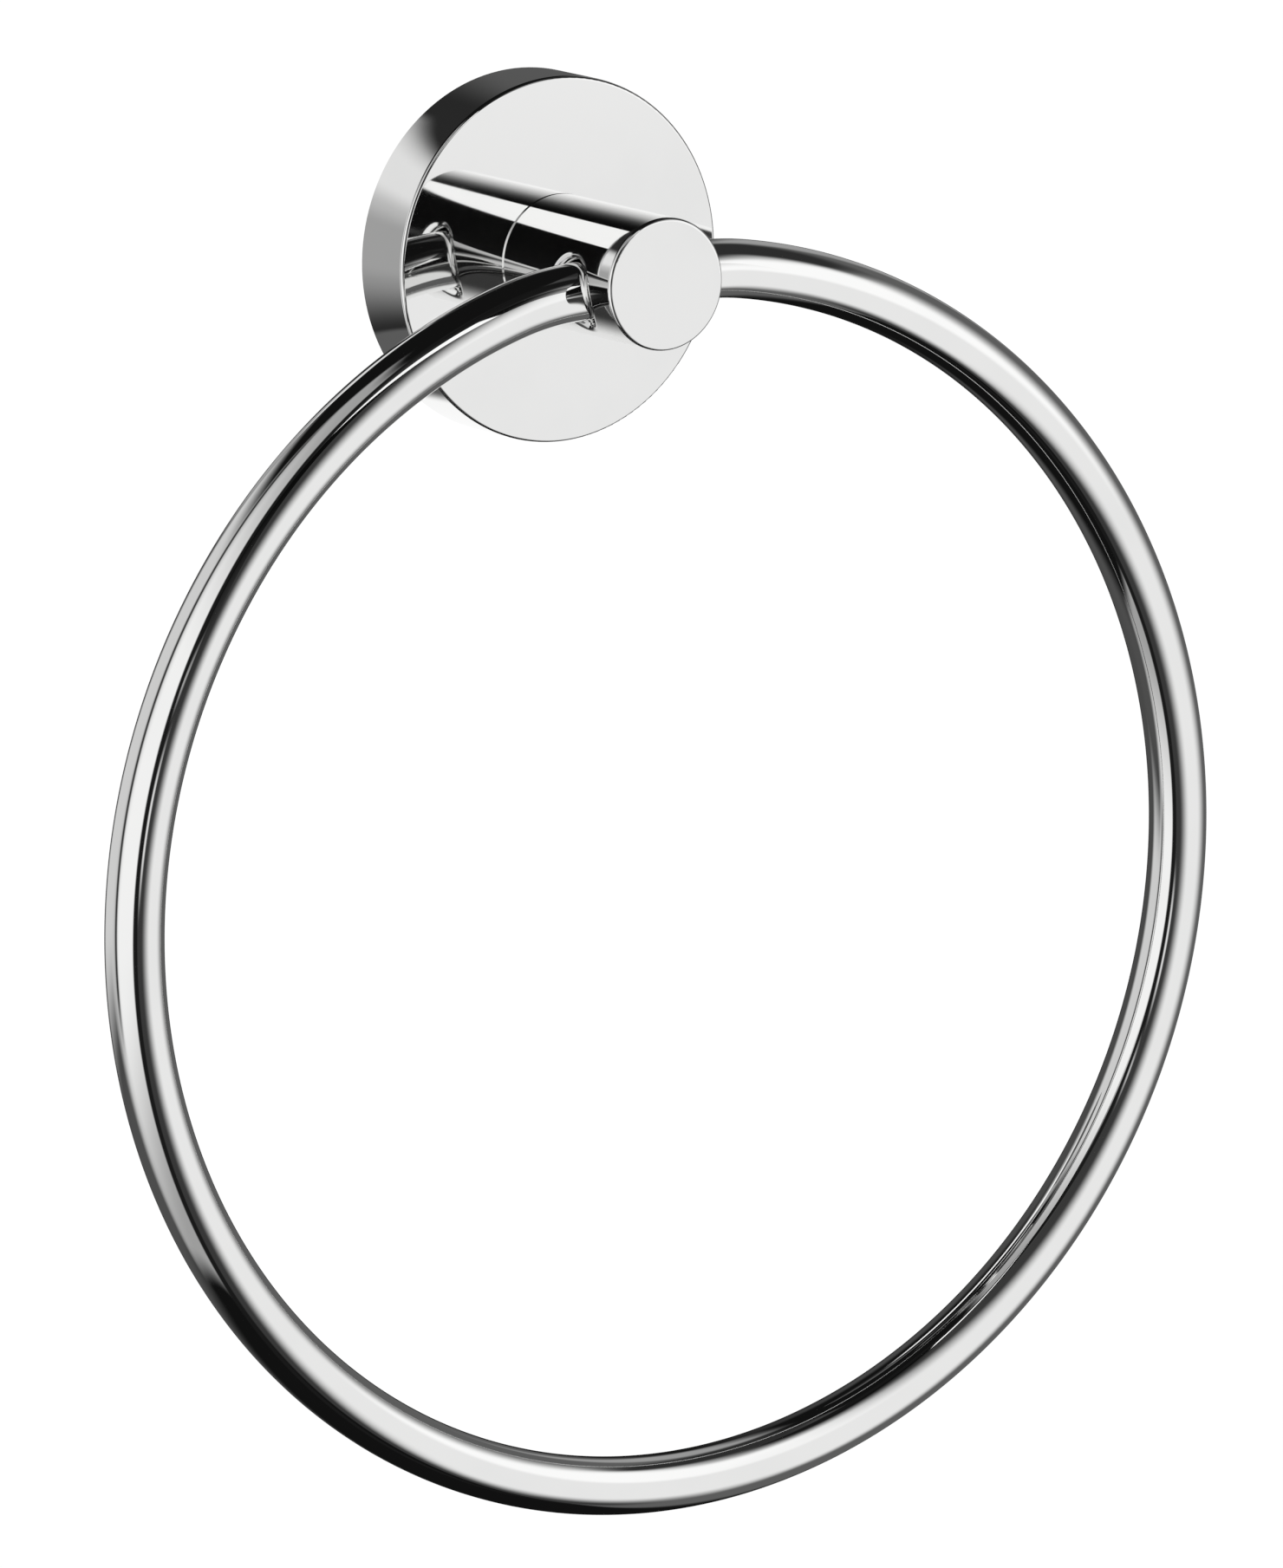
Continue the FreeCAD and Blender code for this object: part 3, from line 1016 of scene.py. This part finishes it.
@dataclass(frozen=True)
class Cloth:
    """Glowing cloth with panels on it, each over the ones before it.

    Args:
        grey: The cloth's own brightness as it shows in a picture.
        panels: The panels.
        half_turn: Half of what the cloth measures across where its ends meet.
        picture_gamma: The power by which a picture's grey becomes light.
    """

    grey: float
    panels: tuple[Panel, ...]
    half_turn: float | None = None
    picture_gamma: float = 2.2

    def glow(self, sheet: NodeSheet, across: Socket, up: Socket) -> Socket:
        """The cloth's light.

        Args:
            sheet: The material's nodes.
            across: The place across the cloth.
            up: The place up the cloth.

        Returns:
            The shader.
        """
        colour: Any = self._tone(self.grey)
        for panel in self.panels:
            share = self._share(sheet, panel, across, up)
            colour = sheet.mix(share, colour, self._tone(panel.grey))
            colour.output.node.label = panel.name
        return sheet.node(
            "ShaderNodeEmission", inputs={"Color": colour, "Strength": WHITE}
        )

    def _tone(self, grey: float) -> Colour:
        """The light of a grey as it shows in a picture."""
        return (grey**self.picture_gamma,) * 3

    def _share(
        self, sheet: NodeSheet, panel: Panel, across: Socket, up: Socket
    ) -> Socket:
        """1 on a panel and 0 beside it, with soft edges.

        Args:
            sheet: The cloth's nodes.
            panel: The panel.
            across: The place across the cloth.
            up: The place up the cloth.

        Returns:
            The share.
        """
        above = up - panel.up
        aside = across - panel.across
        if panel.lean or panel.bow:
            aside = aside - above * (panel.lean + above * panel.bow)
        if self.half_turn is not None:
            aside = sheet.wrap(aside, self.half_turn)
        if panel.slope:
            above = above - aside * panel.slope
        wide, soft_side = panel.half_width, panel.side_softness
        high, soft_end = panel.half_height, panel.end_softness
        in_width = abs(aside).steps_down(wide - soft_side, wide + soft_side)
        in_height = abs(above).steps_down(high - soft_end, high + soft_end)
        return in_width * in_height


def hang(
    name: str, mesh: bmesh.types.BMesh, cloth: bpy.types.Material
) -> bpy.types.Object:
    """Hang up a cloth, which stands outside the picture and shows only in metal.

    Args:
        name: Its name.
        mesh: Its shape.
        cloth: Its material.

    Returns:
        Its object, which is part of the stage.
    """
    data = bpy.data.meshes.new(name)
    mesh.to_mesh(data)
    mesh.free()
    data.materials.append(cloth)
    hung = bpy.data.objects.new(name, data)
    bpy.context.scene.collection.objects.link(hung)
    hung.visible_camera = False
    hung.visible_diffuse = False
    hung.visible_shadow = False
    hung.visible_transmission = False
    return hung


@dataclass
class LightTent:
    """A tent of light round the object, with soft boxes and dark panels.

    Its panels are placed by bearing and by height above the horizon, in degrees. A
    bearing of 0 is out into the room, and 90 is to the right as seen from the room.

    Args:
        radius: Its radius.
        centre: Its middle.
        roundness: How often the faces of its sphere are divided.
        cloth: Its cloth.
    """

    radius: float = 0.4
    centre: Point = (0.1, -0.15, -0.14)
    roundness: int = 4
    cloth: Cloth = Cloth(
        grey=0.24,
        half_turn=HALF_TURN,
        panels=(
            Panel("roof", 0, 90, 400, 20, 0.12, 5, 6),
            Panel("right sheet", 57, -5, 67, 66, 0.945, 26, 14, lean=0.25),
            Panel("right box", 50, 33, 30, 20, 1.03, 14, 7),
            Panel("right wall", 151, 0, 60, 86, 0.38, 30, 8),
            Panel("right wall top", 130, 68, 50, 16, 0.20, 12, 5),
            Panel("left side", -130, 0, 66, 92, 0.10, 5, 8),
            Panel("left box top", -97, 35, 27, 31, 0.64, 3, 3, slope=0.15),
            Panel("left box foot", -97, -5, 27, 26, 0.64, 3, 3, slope=-0.3),
            Panel("left box", -90, 17, 26, 28, 0.99, 10, 16),
            Panel("rear left foot", -150, -12, 30, 12, 0.32, 6, 8),
            Panel("rear dim", -168, 8, 18, 18, 0.30, 6, 8),
            Panel("rear left box", -135, 19, 16, 18, 0.83, 6, 5, slope=0.15),
            Panel("gap", -118, 25, 2.5, 26, 0.20, 2, 4, lean=-0.15),
            Panel("flag", -61, 12, 9, 110, 0.13, 3, 3, bow=-0.005),
            Panel("small light", -48, 11, 4, 6, 0.90, 3, 4),
            Panel("small light above", -52, 27, 4, 2, 0.80, 3, 3),
            Panel("rear glow", 158, 36, 10, 14, 0.62, 5, 6, slope=0.3),
        ),
    )

    def build(self) -> bpy.types.Object:
        """Set up the tent.

        Returns:
            Its object, which is part of the stage.
        """
        mesh = bmesh.new()
        bmesh.ops.create_icosphere(
            mesh,
            subdivisions=self.roundness,
            radius=self.radius,
            matrix=Matrix.Translation(self.centre),
        )
        return hang("light_tent", mesh, self._material())

    def _material(self) -> bpy.types.Material:
        """The tent's cloth, laid out by bearing and height.

        Returns:
            The material.
        """
        made = bpy.data.materials.new("tent_cloth")
        made.cycles.emission_sampling = "NONE"
        sheet = NodeSheet(made)
        from_middle = sheet.node(
            "ShaderNodeVectorMath",
            {"operation": "SUBTRACT"},
            {0: sheet.place(), 1: self.centre},
        )
        across, along, up = sheet.parts_of(sheet.unit(from_middle))
        bearing = sheet.angle(across, along * -1.0)
        rise = sheet.node("ShaderNodeMath", {"operation": "ARCSINE"}, {0: up})
        sheet.show(self.cloth.glow(sheet, bearing, rise * math.degrees(1.0)))
        return made


@dataclass(frozen=True)
class LightCard:
    """A ring of cloth stretched before or behind the fitting, round the post's axis.

    Its panels are placed in millimetres to the right of the post's axis and above it.

    Args:
        name: Its name.
        along: Its place along the Y axis.
        middle: The x and z of its middle.
        inner_radius: The radius of its opening.
        outer_radius: Its own radius.
        cloth: Its cloth.
        clock: The middle of its solid part, in degrees clockwise from the top.
        half_turn: Half of what the solid part goes round.
        fade: Over how many degrees it thins out at each end, on both sides of that.
        sides: How many sides its round has.
    """

    name: str
    along: float
    middle: tuple[float, float]
    inner_radius: float
    outer_radius: float
    cloth: Cloth
    clock: float = 0.0
    half_turn: float = 200.0
    fade: float = 1.0
    sides: int = 96

    def build(self) -> bpy.types.Object:
        """Stretch the card.

        Returns:
            Its object, which is part of the stage.
        """
        mesh = bmesh.new()
        across, up = self.middle
        stand = Matrix.Translation((across, self.along, up))
        stand = stand @ Matrix.Rotation(math.pi / 2, 4, "X")
        bmesh.ops.create_circle(
            mesh, segments=self.sides, radius=self.outer_radius, matrix=stand
        )
        made = bmesh.ops.extrude_edge_only(mesh, edges=list(mesh.edges))["geom"]
        verts = [v for v in made if isinstance(v, bmesh.types.BMVert)]
        shrink = self.inner_radius / self.outer_radius
        space = stand.inverted()
        bmesh.ops.scale(mesh, vec=(shrink,) * 3, verts=verts, space=space)
        return hang(self.name, mesh, self._material())

    def _material(self) -> bpy.types.Material:
        """The card's cloth, which thins out towards both ends of its solid part.

        Returns:
            The material.
        """
        made = bpy.data.materials.new(f"{self.name}_cloth")
        made.cycles.emission_sampling = "NONE"
        sheet = NodeSheet(made)
        across, _, up = sheet.parts_of(sheet.place())
        per_metre = 1 / MILLIMETRE
        glow = self.cloth.glow(sheet, across * per_metre, up * per_metre)
        turn = sheet.angle(across - self.middle[0], up - self.middle[1]) - self.clock
        solid = abs(sheet.wrap(turn, HALF_TURN)).steps_down(
            self.half_turn - self.fade, self.half_turn + self.fade
        )
        clear = sheet.node("ShaderNodeBsdfTransparent")
        inputs = {0: solid, 1: clear, 2: glow}
        sheet.show(sheet.node("ShaderNodeMixShader", inputs=inputs))
        return made


@dataclass(frozen=True)
class HeadLights:
    """The two cards round the post: one out in the room, and one behind the wall.

    Args:
        front: The one in the room, dark with a white panel.
        rear: The one behind the wall.
    """

    front: LightCard = LightCard(
        name="front_card",
        along=-150.0 * MILLIMETRE,
        middle=(-2.0 * MILLIMETRE, 4.0 * MILLIMETRE),
        inner_radius=72.0 * MILLIMETRE,
        outer_radius=114.0 * MILLIMETRE,
        clock=-20.0,
        half_turn=72.0,
        fade=40.0,
        cloth=Cloth(
            grey=0.08,
            panels=(
                Panel("white", -39, 127, 50, 41, 1.04, 1, 1, lean=-0.24, slope=-0.28),
            ),
        ),
    )
    rear: LightCard = LightCard(
        name="rear_card",
        along=40.0 * MILLIMETRE,
        middle=(0.0, 0.0),
        inner_radius=35.0 * MILLIMETRE,
        outer_radius=60.0 * MILLIMETRE,
        cloth=Cloth(
            grey=0.18,
            panels=(
                Panel("left fade", -40, 3, 27, 20, 0.60, 3, 12),
                Panel("left", -40, 20, 27, 25.5, 0.64, 3, 3.5),
                Panel("left rise", -40, 32, 27, 12, 0.76, 3, 5),
                Panel("left bright", -40, 35, 27, 8, 0.91, 3, 4),
                Panel("left low", -40, -45, 27, 16, 0.37, 3, 1),
                Panel("right", 40, 30, 30, 40, 0.35, 12, 3),
                Panel("foot", 12, -50, 24, 24, 1.00, 4, 3),
            ),
        ),
    )


@dataclass
class StudioFloor:
    """A wide pale floor, which shows white and keeps the object's shadow.

    Args:
        level: Its height.
        half_side: Half its side.
        pale: Its paint's colour.
        glow: How much light lifts it to white where it is seen.
    """

    level: float = -1.05
    half_side: float = 40.0
    pale: Colour = (0.80, 0.80, 0.80)
    glow: float = 0.22

    def build(self) -> bpy.types.Object:
        """Lay the floor.

        Returns:
            Its object, which is part of the stage.
        """
        mesh = bmesh.new()
        bmesh.ops.create_grid(mesh, x_segments=1, y_segments=1, size=self.half_side)
        data = bpy.data.meshes.new("studio_floor")
        mesh.to_mesh(data)
        mesh.free()
        data.transform(Matrix.Translation((0.0, 0.0, self.level)))
        data.materials.append(self._paint())
        floor = bpy.data.objects.new("studio_floor", data)
        bpy.context.scene.collection.objects.link(floor)
        return floor

    def _paint(self) -> bpy.types.Material:
        """Matt pale paint, lifted to white where it is seen.

        Returns:
            The material.
        """
        made = bpy.data.materials.new("floor_paint")
        sheet = NodeSheet(made)
        matt = sheet.node(
            "ShaderNodeBsdfDiffuse", inputs={"Color": _with_alpha(self.pale)}
        )
        path = sheet.node("ShaderNodeLightPath").output.node.outputs
        kinds = ("Is Camera Ray", "Is Glossy Ray", "Is Transmission Ray")
        by_camera, in_gloss, through_glass = (Socket(sheet, path[k]) for k in kinds)
        seen = by_camera + in_gloss + through_glass
        lift = sheet.node("ShaderNodeEmission", inputs={"Strength": seen * self.glow})
        sheet.show(sheet.node("ShaderNodeAddShader", inputs={0: matt, 1: lift}))
        return made


@dataclass
class SoftLight:
    """Plain even light from all round, at the level at which white shows white.

    Args:
        colour: Its colour.
        strength: Its strength.
    """

    colour: Colour = (1.0, 1.0, 1.0)
    strength: float = WHITE

    def build(self) -> bpy.types.World:
        """Light the studio.

        Returns:
            The world.
        """
        world = bpy.data.worlds.new("soft_light")
        bpy.context.scene.world = world
        sheet = NodeSheet(world)
        glow = sheet.node(
            "ShaderNodeBackground",
            inputs={"Color": _with_alpha(self.colour), "Strength": self.strength},
        )
        sheet.show(glow, "ShaderNodeOutputWorld")
        return world


@dataclass
class StudioCamera:
    """The camera, at the photograph's viewing angle.

    Args:
        azimuth: Its place round the object in degrees, 0 being straight in front.
        elevation: Its height above the horizon in degrees.
        roll: How far it is turned about its own line of sight, in degrees.
        distance: How far it stands from the point that it looks at.
        aim: That point.
        focal_pixels: Its focal length in pixels of the photograph.
        sensor: The longer side of its sensor, in millimetres.
    """

    azimuth: float = -31.435
    elevation: float = 12.888
    roll: float = -3.909
    distance: float = 1.9585
    aim: Point = (0.013785, 0.0, -0.077154)
    focal_pixels: float = 16411.7
    sensor: float = 36.0

    def build(self) -> bpy.types.Object:
        """Set up the camera.

        Returns:
            Its object.
        """
        azimuth, elevation = math.radians(self.azimuth), math.radians(self.elevation)
        back = Vector(
            (
                math.sin(azimuth) * math.cos(elevation),
                -math.cos(azimuth) * math.cos(elevation),
                math.sin(elevation),
            )
        )
        right = Vector((0.0, 0.0, 1.0)).cross(back).normalized()
        stand = Matrix((right, back.cross(right), back)).transposed().to_4x4()
        data = bpy.data.cameras.new("studio_camera")
        data.sensor_width = self.sensor
        data.lens = self.focal_pixels / PHOTO_LONG_SIDE * self.sensor
        camera = bpy.data.objects.new("studio_camera", data)
        bpy.context.scene.collection.objects.link(camera)
        camera.matrix_world = (
            Matrix.Translation(Vector(self.aim) + back * self.distance)
            @ stand
            @ Matrix.Rotation(math.radians(self.roll), 4, "Z")
        )
        bpy.context.scene.camera = camera
        return camera


def main() -> None:
    """Build the studio, then dress the fitting piece by piece."""
    logging.basicConfig(level=logging.INFO, format="%(name)s: %(message)s")
    bpy.context.scene.view_settings.view_transform = "Standard"
    cards = HeadLights()
    studio = (StudioCamera(), SoftLight(), StudioFloor(), LightTent())
    for part in (*studio, cards.front, cards.rear):
        LOG.info("studio: %s", part.build().name)
    for part in WallFitting().pieces():
        LOG.info("dressed %s", part.dress().name)
    ring = TowelRing()
    piece = ring.dress(ring.build(), PolishedChrome())
    LOG.info("built %s with %d faces", piece.name, len(piece.data.polygons))


if __name__ == "__main__":
    main()
